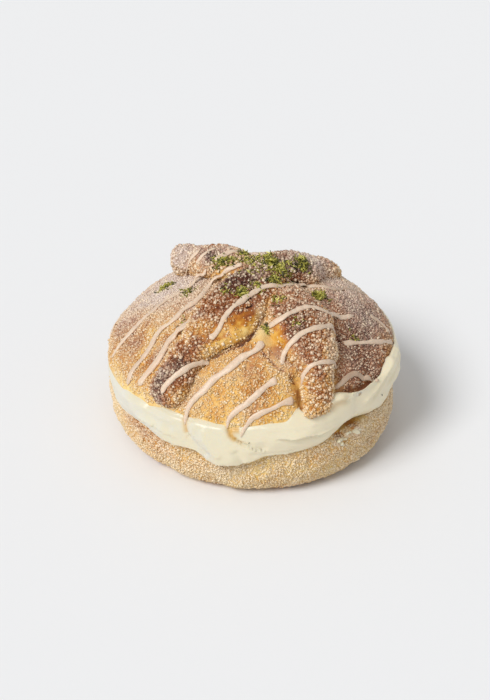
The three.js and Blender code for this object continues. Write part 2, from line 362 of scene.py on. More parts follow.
# crumbs of cream caught on the bun below the torn place: position and size
crumbs = {
    "places": [(36.4, -43.5, 23.4, 1), (37.6, -42.8, 22.9, 0.8), (39, -41.8, 22.5, 0.7),
        (40.2, -40.8, 22.2, 1), (41.6, -39.5, 21.8, 0.7), (33.2, -46.4, 21.9, 1.1), (34, -46, 20.4, 0.9),
        (34.6, -45.4, 19.2, 0.7), (35.6, -44.6, 21.4, 0.8)],
    "seed": 65, "stretch": (0.7, 1.7), "flat": 0.6, "turn": 0.6, "paintedShade": 0.5,
    "uneven": [(0.9, 0.45, 66)],
}
rng = np.random.default_rng(crumbs["seed"])
creamCrumbs = None
for x, y, z, size in crumbs["places"]:
    place = (x * mm, y * mm, z * mm)
    bpy.ops.mesh.primitive_ico_sphere_add(subdivisions=3, radius=size * mm, location=place)
    crumb = bpy.context.active_object
    crumb.scale = (*rng.uniform(*crumbs["stretch"], 2), crumbs["flat"])
    crumb.rotation_euler = rng.uniform(-crumbs["turn"], crumbs["turn"], 3)
    if creamCrumbs is None:
        creamCrumbs = crumb
    else:
        creamCrumbs.select_set(True)
        bpy.context.view_layer.objects.active = creamCrumbs
        bpy.ops.object.join()
onlySelect(creamCrumbs)
bpy.ops.object.transform_apply(location=True, rotation=True, scale=True)
bpy.ops.object.shade_smooth()
creamCrumbs.name = creamCrumbs.data.name = "cream_crumbs"
points = pointsOf(creamCrumbs)
swell(creamCrumbs, layered(points, crumbs["uneven"]))
paint(creamCrumbs, "stainAndShade", np.zeros(len(points)))
# the crumbs are given the cream's painted shade colour at half strength all over
paint(creamCrumbs, "paintedShade", np.full(len(points), crumbs["paintedShade"]))

print("bread skins")
# for each bread skin: mesh size and rounds of smoothing, then its relief, each layer with the size
# of its lumps, their depth and a seed, and where that fades near the cream, at the foot and underneath
skins = {
    "bun": {"fine": 0.72, "softening": 14,
            "relief": [(16, 0.45, 11), (7, 0.36, 12), (3.2, 0.3, 13), (1.7, 0.18, 14)],
            "creamEdge": (0.4, 2.5), "foot": (0.4, 3.5), "under": (30, 50)},
    "crown": {"fine": 0.62, "softening": 22,
              "relief": [(13, 0.4, 21), (6, 0.36, 22), (3, 0.26, 23), (1.6, 0.14, 24)],
              "creamEdge": (0.4, 2.2)},
    "strip": {"fine": 0.5, "softening": 8,
              "relief": [(9, 0.4, 31), (4.5, 0.36, 32), (2.4, 0.26, 33), (1.3, 0.14, 34)]},
}


def breadSkin(node, name, key):
    return skinOf(node, name, skins[key]["fine"], skins[key]["softening"])


def roughen(piece, key, hold):
    swell(piece, layered(pointsOf(piece), skins[key]["relief"]) * hold)


bun = breadSkin("bottom_bun", "baked_bottom_bun", "bun")
points = pointsOf(bun)
free = freeOf(creamTree, bun, *skins["bun"]["creamEdge"]) * ease(*skins["bun"]["foot"], points[:, 2])
roughen(bun, "bun", free * ease(*skins["bun"]["under"], fromMiddle(points)))
# a torn place on the rim, with crumbs of dough beside it: place, reach, how far out
tornRim = {
    "tears": [(33.4, -45, 23.2, 1.6, -1.3), (40.2, -40, 21.8, 2, 0.7), (36.4, -43, 22.6, 1.6, 0.8),
        (33.2, -46.2, 21.4, 1.6, 0.6)],
}
swell(bun, spotSum(pointsOf(bun), tornRim["tears"]))
points = pointsOf(bun)
points[:, 2] = np.maximum(points[:, 2], 0)
setPoints(bun, points)

crown = breadSkin("crown", "baked_crown", "crown")
# how far the crown's rim reaches out over the cream, between which distances and heights
crownRim = {
    "reach": [(-180, 1), (-168, 1.8), (-156, 2.4), (-146, 2.5), (-138, 2), (-130, 1.5), (-122, 0.9),
        (-116, 0.5), (-110, 1.2), (-103, 1.8), (-97, 1.2), (-90, 0.5), (-80, 0.3), (-76, -0.1), (-71, -1.4),
        (-66, -0.3), (-56, -0.3), (-50, -2.2), (-43, -3), (-36, -1.8), (-27, 0), (160, 0)],
    "between": (25, 45), "heights": (46, 37), "droop": 0.3,
}
points = pointsOf(crown)
around = fromMiddle(points)
reach = aroundBread(points, crownRim["reach"]) * ease(*crownRim["between"], around)
reach *= ease(*crownRim["heights"], points[:, 2])
points[:, :2] *= 1 + (reach / np.maximum(around, 1))[:, None]
points[:, 2] -= crownRim["droop"] * np.abs(reach)
# a web of dough in the valley between the strips
web = {"line": [(5.6, -13), (5, -17), (4.6, -21), (4.2, -25), (3.8, -29), (3.2, -34)], "width": 2.2,
       "height": 1.6, "above": 45}
away, _, share = alongLine(points[:, :2], web["line"])
dough = web["height"] * np.exp(-(away / web["width"]) ** 2) * ease(0, 0.2, share) * ease(0, 0.2, 1 - share)
points[:, 2] += dough * np.where(points[:, 2] > web["above"], 1.0, 0.0)
setPoints(crown, points)
# each crack's width, depth and how much painted shade darkens it inside, then its way in plan
cracks = {
    "crown": [
        (0.5, 1, 1, [(-16, -35), (-13, -34), (-10, -33), (-6, -32), (-4, -31)]),
        (1, 1.6, 1, [(-6, -32), (-3.5, -30.6), (-1.5, -29), (0, -27), (0.6, -25)]),
        (0.5, 1, 0.7, [(3.4, -33.8), (4.8, -35.8), (6.4, -37.8), (8.4, -39.4), (10.8, -40.9), (13, -42)]),
        (2.1, 2.3, 0, [(15, -41.6), (16.4, -43.4), (17.6, -45), (18.4, -46.8), (19, -49), (19.2, -51)]),
        (0.9, 0.6, 0.5, [(13.8, -41.4), (15, -42.6), (16, -44)]),
        (1.2, 0.8, 0.3, [(33.6, -19.6), (33.4, -22), (33.6, -25)]),
        (1.2, 0.5, 0.2, [(31, -44.4), (33.6, -42.6), (36, -41), (38, -39)]),
    ],
    "over": [
        (0.5, 0.8, 1, [(-7, -20), (-4, -19), (-1, -16), (1, -13.5)]),
        (0.45, 0.6, 1, [(-5, -22.5), (-2, -20.5), (1, -18)]),
    ],
    "above": 40, "wander": [(3, 0.4, 41)],
}


def cutCracks(piece, key):
    points, normals = pointsOf(piece), normalsOf(piece)
    crackShade = np.zeros(len(points))
    for width, depth, shadeInside, line in cracks[key]:
        away, _, share = alongLine(points[:, :2] + layered(points, cracks["wander"])[:, None], line)
        fade = ease(0, 0.2, share) * ease(0, 0.1, 1 - share) * (points[:, 2] > cracks["above"])
        groove = np.exp(-(away / width) ** 2) * fade
        points -= normals * (depth * groove)[:, None]
        crackShade = np.maximum(crackShade, groove * shadeInside)
    setPoints(piece, points)
    return crackShade


roughen(crown, "crown", freeOf(creamTree, crown, *skins["crown"]["creamEdge"]))
crownCrackShade = cutCracks(crown, "crown")
crownTree = treeOf(crown)
# how the strips sit on the crown, and what is added to or taken off their front ends, which are
# blunt and full: place, reach, how far out
strips = {
    "flare": 1.4, "sink": 0.9, "sinkBelow": 0.7,
    "ends": [(22.2, -53.4, 40, 2.6, 1.6), (20, -46.5, 43.5, 3.2, -1.3), (20.2, -49.6, 42, 2.2, -0.9),
        (25.6, -54.8, 37.6, 3, -1.5), (29.6, -50.8, 40, 2.8, 1), (-26.8, -42.9, 42.4, 4.2, 2),
        (-28.8, -44.1, 39.5, 3.4, 1), (-23.2, -40, 45, 3.6, 0.9)],
}


# the strip's edge spreads out where it meets the crown, and goes a little into it
def seat(piece, tree):
    points, normals = pointsOf(piece), normalsOf(piece)
    flare = strips["flare"]
    for i, point in enumerate(points):
        near, facing, _, _ = tree.find_nearest(Vector(point))
        gap = (Vector(point) - near).dot(facing)
        if gap > flare:
            continue
        out = Vector(normals[i]) - facing * Vector(normals[i]).dot(facing)
        size = out.length
        lift = max(gap, 0)
        spread = flare - math.sqrt(max(flare ** 2 - (flare - lift) ** 2, 0))
        points[i] += np.array(out / max(size, 0.2)) * spread * min(size, 1)
        if gap < strips["sinkBelow"]:
            points[i] -= np.array(facing) * strips["sink"]
    setPoints(piece, points)


under = breadSkin("strip_under", "baked_strip_under", "strip")
over = breadSkin("strip_over", "baked_strip_over", "strip")
for strip in (under, over):
    roughen(strip, "strip", 1)
    swell(strip, spotSum(pointsOf(strip), strips["ends"]))
    seat(strip, crownTree)
overCrackShade = cutCracks(over, "over")

# how far each crust is browned, with painted shade in some spots and inside the cracks: all over, more on top
# and at the foot, and in spots with their place, reach and amount
toastAndShade = {
    "bun": {"base": 0.1, "top": 0, "foot": 0.16,
        # spot two is the dark torn hole, and the spots at the left sit under the cream's lip: browner crust
        # with painted shade
        "spots": [(38.6, -39, 23.6, 3.2, 0.36), (33.4, -45, 23.2, 1.5, 0.8), (50, -22, 14, 9, 0.1),
            (-42, -38, 12, 17, 0.17), (0, -56, 8, 9, 0.06), (-46, -32, 19.5, 5, 0.34),
            (-38, -38, 18, 5, 0.3), (-50, -25, 20, 5, 0.26), (-12, -57, 7, 9, -0.1)]},
    "crown": {"base": 0.26, "top": 0.12, "foot": 0,
        # (38, -36) and (35, -41.6, 43) are browner crust with painted shade low on the right; (18.6, -47.2)
        # adds painted shade in the groove beside the under strip's end
        "spots": [(-46, -4, 20, 0.07), (46, -24, 15, 0.49), (42, 0, 18, 0.46), (38, -36, 8, 0.34),
            (-50, 2, 8, 0.24), (-4, -43, 8, 0.06), (-44, -15, 4, 0.22), (-38, -27, 4, 0.2),
            (-32, -18, 2.5, 0.12), (1, -44, 5, 0.12), (1, -51, 4, 0.12), (-52, -12, 6, 0.14),
            (18.6, -47.2, 3, 0.14), (-21, -41, 4, -0.12), (3.8, -28, 4, -0.24), (35, -41.6, 43, 4, 0.12),
            (-13, -33, 4, -0.12), (9.5, -34, 2.5, 0.1), (-34, 22, 12, 0.22), (28, -12, 6, 0.12),
            (6, -48, 5, 0.06)]},
    "over": {"base": 0.5, "top": 0.36, "foot": 0,
        "spots": [(-35, -41, 6, 0.5), (-26, -44, 41, 4, -0.3), (-26, -40, 6, 0.24), (-11, -14, 5.5, -0.14),
            (-5, -4.5, 6, 0.22), (-4, -27, 4.5, -0.24), (-12, -31, 4, -0.12), (-4, -5, 8, 0.32),
            (-6, -8, 6, 0.15), (-18, -27, 6, -0.18), (4, -19, 3, -0.2), (20, 14, 12, 0.12),
            # (15.5, 4) is a painted shadow of the zest heap beside it
            (15.5, 4, 5.5, 0.45), (27, 12, 7, 0.3)]},
    "under": {"base": 0.48, "top": 0.3, "foot": 0,
        "spots": [(24, -33, 7, 0.12), (8, -31, 4.5, -0.1), (24.4, -50, 6, 0.12), (25, -42, 5, 0.06),
            (-16.5, 17.5, 4.5, 0.4), (17, -30, 5, 0.28), (14, -38, 3, -0.16), (-9, 9, 5, -0.15),
            (16.5, -47, 2.5, -0.15), (-26, 24, 6, 0.04), (12, -17, 5, -0.08), (-29, 24, 53, 5, 0.04)]},
    # crack is how much the painted shade inside the cracks darkens the crust
    "patches": [(11, 0.12, 51), (4.5, 0.1, 52), (2, 0.07, 53)], "footHeight": (1, 6), "crack": 0.55,
    "paleRim": 0.16, "rimHeight": (35, 39),
}
# how thickly each is hazed over with the finest sugar, with one spot of less haze as painted shade
frostAndShade = {
    "bun": {"base": 0.1,
        "spots": [(50, -20, 12, 14, 0.2), (-12, -57, 7, 10, 0.45), (-35, -46, 8, 8, 0.3),
            (40.4, -40, 21.6, 2, 0.9), (36.5, -43, 22.4, 1.5, 0.8), (33.2, -46.2, 21.4, 1.6, 0.8)]},
    "crown": {"base": 0.09,
        "spots": [(-34, 18, 22, 1), (34, 20, 22, 0.7), (44, -14, 15, 0.12), (0, 34, 24, 0.7),
            (-23, -5, 3, 0.5), (-33, -26, 3, 0.45), (-26, -19, 3, 0.3), (4, -24, 5, 0.3),
            (-20, -42, 4, 0.2), (-13, -33, 4, 0.2), (-39, 14, 4, 0.3), (11.5, -38, 4, 0.4),
            (-4, -31, 4, 0.16), (-22, -47, 4, 0.2)]},
    "over": {"base": 0,
        "spots": [(24, 19, 11, 0.75), (-36, -42, 4, 0.25), (-21, -19, 3, 0.3), (-22, -6, 3.5, 0.4),
            (-12, -14, 5, -0.3), (4, -20.5, 3, 0.5), (27, 12, 7, 0.3), (-5, -6, 7, -0.16),
            # (16, 5) takes the haze away as painted shade, in the zest heap's shadow
            (4.5, -1.8, 4, 0.25), (16, 5, 5, -0.3), (6, 6, 5, 0.25)]},
    "under": {"base": 0.02,
        "spots": [(-28, 26, 8, 1), (8, 4, 12, 0.45), (32, -30, 2.5, 0.45), (31.8, -36, 2.5, 0.5),
            (30.3, -42.5, 2.5, 0.5), (28.8, -49, 2.5, 0.3), (-21, 13, 4, 0.45), (24.5, -50, 5, -0.2),
            (-9, 20, 6, 0.5), (11, -18, 4, 0.12)]},
    "patches": [(6, 0.16, 54)],
}
# bare glossy crust without sugar
bare = {
    "bun": [(38.6, -39, 23.8, 2.6, 1.2), (33.4, -45, 23.2, 1.5, 1.1)],
    "crown": [(19, -50.4, 3, 1.6), (18.6, -47.4, 2.8, 1.6), (16.8, -44, 2.4, 1.4), (4.2, -24, 2.6, 0.7),
        (3.6, -30, 2.6, 0.7), (34, -42.4, 43, 3, 0.8), (6.5, -30, 4, 1), (9.5, -34, 2.6, 0.9),
        (-12, -49, 6, 0.3), (-2, -29, 3, 0.6), (0, -37, 4, 0.3), (-32, -18, 1.6, 0.6), (-39, -26, 2, 0.4)],
    "over": [(-4, -26.5, 5.4, 1.1), (-12, -31.5, 4, 0.7), (2, -22, 3, 0.6), (-11, -16, 3, 0.5)],
    "under": [(9, -31, 5.6, 1.15), (12.5, -36, 3.6, 0.9), (10, -16, 5, 0.6), (-16.5, 17, 3, 0.6)],
}


def brownAndShade(piece, key, shadeInside=0):
    points, normals = pointsOf(piece), normalsOf(piece)
    plan = toastAndShade[key]
    amount = plan["base"] + spotSum(points, plan["spots"])
    amount += layered(points, toastAndShade["patches"])
    amount += plan["top"] * (ease(0.45, 0.98, normals[:, 2]) - 0.4)
    # the painted shade inside the cracks is added as browning
    amount += plan["foot"] * (1 - ease(*toastAndShade["footHeight"], points[:, 2])) + toastAndShade["crack"] * shadeInside
    if key == "crown":
        amount -= toastAndShade["paleRim"] * (1 - ease(*toastAndShade["rimHeight"], points[:, 2]))
    paint(piece, "toastAndShade", amount)
    hazeAndShade = frostAndShade[key]["base"] + spotSum(points, frostAndShade[key]["spots"]) + layered(points, frostAndShade["patches"])
    paint(piece, "frostAndShade", hazeAndShade * ease(-0.8, 0.3, normals[:, 2]))
    sugared = 1 - spotSum(points, bare[key])
    paint(piece, "sugared", np.clip(sugared, 0, 1) * (1 - shadeInside))


brownAndShade(bun, "bun")
brownAndShade(crown, "crown", crownCrackShade)
brownAndShade(over, "over", overCrackShade)
brownAndShade(under, "under")

print("icing")
icing = {
    "sides": 10, "step": 0.5, "flat": 0.42, "rest": 0.3, "cap": 0.9, "endReach": 2.6, "tip": 0.25,
    # it hangs across valleys up to twice this many steps wide, sagging a little at each step
    "span": 9, "sag": 0.03,
    "uneven": [(4.5, 1, 70), (1.8, 0.6, 170)], "widthShare": 0.24, "heightShare": 0.2,
    "ripple": [(1.3, 0.14, 88)],
    # where the syrup has soaked away and is thin enough to see through
    "sheer": [(40, -36, 9, 1.1), (46, -3, 8, 0.45), (44, 16, 15, 0.7), (34, 8, 8, 0.4), (-50, -8, 8, 0.1),
        (-38, 3, 8, 0.3), (-25, -20, 6, 0.3), (-42, -24, 7, 0.4)],
    "sheerPatches": [(3, 0.12, 89)],
    # width of each line, how much its two ends swell (below zero they thin out), then its way in plan
    "lines": [
        (1.74, 0, 0, [(-52.4, 14), (-54, 12), (-55.4, 8), (-56.2, 3)]),
        (2.2, 0, -0.3, [(-17.7, 12.4), (-19.4, 12.8), (-21.8, 12), (-24.5, 8.8), (-30, 5.8), (-34.4, 2.8),
            (-39.1, -1), (-43.6, -4), (-47, -7.1), (-50.2, -9.4), (-53.1, -10.8), (-54.6, -12)]),
        (2.32, 0, 0, [(-3.5, 10.2), (-6.3, 9.3), (-9.8, 9), (-12.8, 8.6), (-15.6, 7.4), (-17.6, 4),
            (-19.2, -0.4), (-21.5, -3.6), (-26.2, -7.4), (-30.1, -12), (-34.6, -13.6), (-37.4, -18),
            (-39.3, -21.4), (-42.3, -23.7), (-45.1, -25.2), (-46.6, -27), (-47.4, -29)]),
        (2.9, 0.3, 0, [(-23.4, -18.6), (-25.6, -19.4), (-28.4, -20), (-31, -21.2), (-33.4, -25),
            (-35.6, -28), (-38.4, -29.8), (-41, -31.4), (-42.8, -33)]),
        (2.3, 0, 0.3, [(-33.6, -44.1), (-32.8, -43.8), (-31.3, -43.1), (-29, -42.2), (-26.9, -41.5),
            (-24.8, -40.5), (-23, -39.4), (-21.3, -38.5), (-19.3, -37.3), (-17.4, -36.1), (-16, -35.4)]),
        (2.32, 0.3, -0.5, [(-15.8, -32.2), (-13.7, -31), (-12, -28.6), (-9.7, -24), (-7.4, -21.5),
            (-5.2, -19), (-1.2, -14.8), (2.2, -11.6), (5.3, -9), (8.6, -8), (11.8, -6.2), (14.4, -4),
            (17.2, -0.4), (20.4, 2.6), (25, 4.2), (31, 4.6), (35, 8), (39.6, 13), (43.4, 15.2),
            (46.5, 17.1)]),
        (2.55, -0.4, 0.3, [(-25, -50.4), (-24.6, -49), (-23.8, -47.6), (-21.5, -46.2), (-19.4, -45.6),
            (-16.6, -44), (-13.8, -42), (-10.9, -41.3), (-7.4, -39.6), (-4.8, -37.4), (-2, -36.2),
            (0.8, -35.4), (2.6, -34), (4, -31.6)]),
        (2.2, 0, 0, [(6.4, -25.6), (8.8, -26.2), (11.3, -26), (14.2, -24.4), (17.4, -22), (20.6, -19.8),
            (23.2, -19.4), (25.8, -18.6), (28.6, -17.6), (31.4, -14.4), (35, -12), (39.3, -8.7)]),
        (2.2, 0, 0.1, [(11.2, -39.6), (11.5, -38), (12.2, -36.6), (14, -35.8), (16.1, -34.6), (18.8, -32.6),
            (22, -31), (25.2, -28.9), (27.8, -26.6), (29.8, -24.2), (31.8, -21)]),
        (1.97, 0, 0, [(18.6, -45.2), (19, -44.2), (20.6, -44), (22.9, -43.6), (25.5, -42.6), (27.7, -41.4),
            (29.8, -39.8), (31, -38.2), (31.8, -36.4)]),
        (2.4, -0.4, 0.4, [(-9.3, -55.2), (-9, -54.4), (-8, -53.2), (-5.4, -52.2), (-2.1, -51.1),
            (0.4, -49.9), (3.4, -48.1), (6.4, -45.9), (9.4, -44.8)]),
        (2, -0.3, 0.5, [(-4, -57.2), (-2.6, -55.8), (-0.6, -54.4), (1.5, -53.8), (4.9, -52.8), (8, -52),
            (11.4, -50.6), (14, -49.6), (15.6, -48.8)]),
        (2.32, 0.2, 0, [(34.9, -25), (37.2, -23.6), (41.7, -21), (45, -18.7), (47.8, -16.4), (51, -13.6),
            (53.6, -10), (55, -7.4)]),
        (2.09, 0, -0.4, [(31, -42.2), (33.1, -40.7), (35.2, -38.4), (37.6, -35.9), (40.2, -34.2),
            (43, -33.6), (45.6, -32.4), (48.6, -31.2)]),
        (1.97, 0.3, 0, [(46.3, -2), (49, -1.8), (51, -2), (53, -2.6), (54.4, -3.8)]),
        (1.97, 0, 0, [(-26.4, 21), (-24.5, 21.2), (-22.6, 21.4), (-20.4, 22.4)]),
        (1.86, 0, 0, [(-21.8, 17), (-20.2, 17.6), (-18.4, 18.4), (-16.4, 19.8), (-14, 21.2)]),
        (2.55, 0, 0, [(-14.6, 13), (-12.6, 14.5), (-10.2, 16.4), (-7.4, 18.2), (-5, 19.4), (-3, 20.6)]),
    ],
}
breadTree = treeOf(crown, over, under)
allTree = treeOf(crown, over, under, cream)


def curveThrough(knots, step):
    knots = np.array(knots, float)
    padded = np.vstack([2 * knots[0] - knots[1], knots, 2 * knots[-1] - knots[-2]])
    pieces = []
    for i in range(len(knots) - 1):
        a, b, c, d = padded[i:i + 4]
        count = max(int(np.hypot(*(c - b)) / step), 2)
        t = np.linspace(0, 1, count, endpoint=False)[:, None]
        pieces.append(0.5 * (2 * b + (c - a) * t + (2 * a - 5 * b + 4 * c - d) * t ** 2
                             + (3 * b - a - 3 * c + d) * t ** 3))
    return np.vstack(pieces + [knots[-1:]])


def blurAlong(values, reach):
    weights = np.exp(-(np.arange(-2 * reach, 2 * reach + 1) / reach) ** 2)
    weights /= weights.sum()
    padded = np.pad(values, ((2 * reach, 2 * reach), (0, 0)), mode="reflect", reflect_type="odd")
    return np.stack([np.convolve(column, weights, "valid") for column in padded.T], 1)


def drop(tree, x, y):
    hit, facing, _, _ = tree.ray_cast(Vector((x, y, 120)), Vector((0, 0, -1)))
    if hit is None:
        return None
    return np.array(hit), np.array(facing)


def placed(name, thing):
    made = bpy.data.objects.new(name, thing)
    bpy.context.scene.collection.objects.link(made)
    return made


# one mesh of corners and faces, or of many copies of one shape whose faces are given once
def packedMesh(name, corners, shapeFaces, count=1):
    perShape = len(corners) // count
    mesh = bpy.data.meshes.new(name)
    mesh.vertices.add(len(corners))
    mesh.vertices.foreach_set("co", (corners * mm).ravel())
    sizes = np.array([len(face) for face in shapeFaces])
    flat = np.concatenate([np.array(face) for face in shapeFaces])
    loops = (flat[None, :] + (np.arange(count) * perShape)[:, None]).ravel()
    totals = np.tile(sizes, count)
    mesh.loops.add(len(loops))
    mesh.loops.foreach_set("vertex_index", loops.astype(np.int32))
    mesh.polygons.add(len(totals))
    mesh.polygons.foreach_set("loop_start", np.concatenate([[0], np.cumsum(totals)[:-1]]).astype(np.int32))
    mesh.update(calc_edges=True)
    mesh.validate()
    return placed(name, mesh)


# the middle line of a run of icing, laid on the bread, and which way up it lies
def laidLine(knots):
    way = blurAlong(curveThrough(knots, icing["step"]), 2)
    found = [drop(allTree, x, y) for x, y in way]
    found = [hit for hit in found if hit is not None]
    spine = blurAlong(np.array([hit[0] for hit in found]), 2)
    spine[:, 2] = np.maximum(spine[:, 2], [drop(allTree, x, y)[0][2] for x, y, _ in spine])
    # the syrup hangs across narrow valleys instead of going down into them
    resting = spine[:, 2].copy()
    for reach in range(1, min(icing["span"], (len(spine) - 1) // 2) + 1):
        chord = (resting[:-2 * reach] + resting[2 * reach:]) / 2 - icing["sag"] * reach
        spine[reach:-reach, 2] = np.maximum(spine[reach:-reach, 2], chord)
    spine[:, 2] = blurAlong(spine[:, 2:], 1)[:, 0]
    facing = blurAlong(np.array([hit[1] for hit in found]), 3)
    facing /= np.linalg.norm(facing, axis=1)[:, None]
    return spine, facing


# half the width and half the height of a run at each step, rounded off at both ends
def lineGirth(spine, number, width, firstEnd, lastEnd):
    wave = sum(depth * lumps(spine, size, seed + number) for size, depth, seed in icing["uneven"])
    fromStart = np.arange(len(spine)) * icing["step"]
    fromEnd = fromStart[::-1]
    nearEnd = np.clip(np.minimum(fromStart, fromEnd) / icing["cap"], 0, 1)
    cap = np.sqrt(np.clip(1 - (1 - nearEnd) ** 2, 0.02, 1))
    ends = 1 + firstEnd * np.exp(-(fromStart / icing["endReach"]) ** 2)
    ends += lastEnd * np.exp(-(fromEnd / icing["endReach"]) ** 2)
    half = width / 2 * (1 + icing["widthShare"] * wave) * cap * ends
    tall = icing["flat"] * width / 2 * (1 + icing["heightShare"] * wave) * cap
    return half, tall


corners, faces = [], []
for number, (width, firstEnd, lastEnd, knots) in enumerate(icing["lines"]):
    spine, facing = laidLine(knots)
    half, tall = lineGirth(spine, number, width, firstEnd, lastEnd)
    way = np.gradient(spine, axis=0)
    way /= np.linalg.norm(way, axis=1)[:, None]
    across = np.cross(facing, way)
    start, count, sides = len(corners), len(spine), icing["sides"]
    for k in range(count):
        for j in range(sides):
            turn = tau * j / sides
            corners.append(spine[k] + across[k] * math.cos(turn) * half[k]
                           + facing[k] * (math.sin(turn) * tall[k] + icing["rest"]))
    corners += [spine[0] - way[0] * icing["tip"], spine[-1] + way[-1] * icing["tip"]]
    for k in range(count - 1):
        for j in range(sides):
            a, b = start + k * sides + j, start + k * sides + (j + 1) % sides
            faces.append([a, a + sides, b + sides, b])
    first, last = start + count * sides, start + count * sides + 1
    end = start + (count - 1) * sides
    for j in range(sides):
        faces.append([first, start + j, start + (j + 1) % sides])
        faces.append([last, end + (j + 1) % sides, end + j])
icingLines = packedMesh("icing_lines", np.array(corners), faces)
turnOutward(icingLines)
bpy.ops.object.shade_smooth()
points = pointsOf(icingLines)
swell(icingLines, layered(points, icing["ripple"]))
paint(icingLines, "sheer", spotSum(points, icing["sheer"]) + layered(points, icing["sheerPatches"]))

print("sugar")
sugar = {
    # each kind of grain: its size, and the cell that is kept to one grain
    "coarse": {"size": 0.72, "clear": 0.56},
    "middling": {"size": 0.54, "clear": 0.42},
    "fine": {"size": 0.41, "clear": 0.34},
    "sizes": (0.65, 1.4), "stretch": (0.7, 1.25), "lift": 0.35, "least": 0.02,
    "drifts": [(5, 0.4, 1), (2.2, 0.3, 2)],
    "bunFoot": (0.6, 2.4), "bunSide": (48, 52), "crownRim": (33, 36), "creamEdge": (0.25, 0.7),
    # how seldom a grain is white
    "seldom": {"crown": 2.6, "over": 2.0, "under": 1.7, "bun": 0.95},
    # where more of it lies: place, reach, how much more
    "rich": {
        "crown": [(-32, 12, 24, 0.5), (30, 18, 24, 0.5), (42, -16, 14, 0.4)],
        "over": [(-28, -40, 8, 0.3), (20, 16, 14, 0.4), (-5, -7, 6, -0.5)],
        "under": [(22, -32, 12, 0.25), (-22, 24, 14, 0.4), (25, -48, 6, 0.2)],
        "bun": [(40.4, -40, 21.6, 2, 3), (36.5, -43, 22.4, 1.5, 3), (33.2, -46.2, 21.4, 1.6, 3)],
    },
    # each piece's name, the crust it lies on, its kind of grain, how many, and a seed
    "sprinkles": [
        ("coarse_sugar_on_crown", "crown", "middling", 15500, 101),
        ("fine_sugar_on_crown", "crown", "fine", 17000, 111),
        ("coarse_sugar_on_over_strip", "over", "coarse", 4300, 121),
        ("fine_sugar_on_over_strip", "over", "fine", 7500, 126),
        ("coarse_sugar_on_under_strip", "under", "coarse", 4300, 131),
        ("fine_sugar_on_under_strip", "under", "fine", 7500, 136),
        ("coarse_sugar_on_bun", "bun", "middling", 13000, 141),
        ("fine_sugar_on_bun", "bun", "fine", 20000, 151),
    ],
}


# the corners and faces of a shape that is copied many times
def takenApart(shape):
    corners = np.array([v.co for v in shape.data.vertices])
    faces = [list(face.vertices) for face in shape.data.polygons]
    bpy.data.objects.remove(shape)
    return corners, faces


# large grains are little cubes, the fine ones three-sided
def grainShape(kind):
    if kind != "fine":
        bpy.ops.mesh.primitive_cube_add(size=1)
    else:
        bpy.ops.mesh.primitive_cylinder_add(vertices=3, radius=0.66, depth=0.92)
    return takenApart(bpy.context.active_object)


# places on a surface, thicker where its weight is, with never two in one cell
def scatter(surface, count, weight, clear, rng):
    mesh = surface.data
    mesh.calc_loop_triangles()
    corners = np.empty(len(mesh.loop_triangles) * 3, np.int32)
    mesh.loop_triangles.foreach_get("vertices", corners)
    corners = corners.reshape(-1, 3)
    points, normals = pointsOf(surface), normalsOf(surface)
    a, b, c = (points[corners[:, k]] for k in range(3))
    share = np.linalg.norm(np.cross(b - a, c - a), axis=1) * weight[corners].mean(1)
    chosen = rng.choice(len(share), size=int(count * 1.6), p=share / share.sum())
    u, v = rng.random((2, len(chosen)))
    flip = u + v > 1
    u[flip], v[flip] = 1 - u[flip], 1 - v[flip]
    mix = np.stack([1 - u - v, u, v], 1)[:, :, None]
    place = (points[corners[chosen]] * mix).sum(1)
    facing = (normals[corners[chosen]] * mix).sum(1)
    _, first = np.unique(np.floor(place / clear).astype(int), axis=0, return_index=True)
    keep = np.sort(first)[:count]
    facing = facing[keep] / np.linalg.norm(facing[keep], axis=1)[:, None]
    return place[keep], facing, corners[chosen[keep], 0]


# turns of any kind, as matrices
def turnsFor(count, rng):
    q = rng.normal(size=(count, 4))
    q /= np.linalg.norm(q, axis=1)[:, None]
    w, x, y, z = q.T
    return np.stack([
        np.stack([1 - 2 * (y * y + z * z), 2 * (x * y - z * w), 2 * (x * z + y * w)], 1),
        np.stack([2 * (x * y + z * w), 1 - 2 * (x * x + z * z), 2 * (y * z - x * w)], 1),
        np.stack([2 * (x * z - y * w), 2 * (y * z + x * w), 1 - 2 * (x * x + y * y)], 1),
    ], 1)


def sprinkle(name, surface, key, kind, count, seed):
    rng = np.random.default_rng(seed)
    plan = sugar[kind]
    points = pointsOf(surface)
    weight = painted(surface, "sugared") + sugar["least"] + spotSum(points, sugar["rich"][key])
    weight *= 1 + layered(points, [(size, depth, seed + extra) for size, depth, extra in sugar["drifts"]])
    if key == "bun":
        weight *= ease(*sugar["bunFoot"], points[:, 2]) * ease(*sugar["bunSide"], fromMiddle(points))
    if key == "crown":
        weight *= ease(*sugar["crownRim"], points[:, 2])
    if key in creamClear:
        weight *= creamClear[key]
    if key != "bun":
        weight *= ease(plan["size"] * 0.3, plan["size"] * 0.9, distanceTo(iceTree, points))
    place, facing, near = scatter(surface, count, np.clip(weight, 0, None), plan["clear"], rng)
    shape, shapeFaces = grainShape(kind)
    count, each = len(place), len(shape)
    size = plan["size"] * rng.uniform(*sugar["sizes"], count)
    stretch = size[:, None] * rng.uniform(*sugar["stretch"], (count, 3))
    turned = np.einsum("nij,nkj->nki", turnsFor(count, rng), shape[None] * stretch[:, None, :])
    lift = size * rng.uniform(0, sugar["lift"], count)
    corners = turned + (place + facing * lift[:, None])[:, None, :]
    piece = packedMesh(name, corners.reshape(-1, 3), shapeFaces, count)
    paint(piece, "tint", np.repeat(rng.random(count) ** sugar["seldom"][key], each))
    paint(piece, "toastAndShade", np.repeat(painted(surface, "toastAndShade")[near], each))
    paint(piece, "frostAndShade", np.repeat(painted(surface, "frostAndShade")[near], each))
    return piece


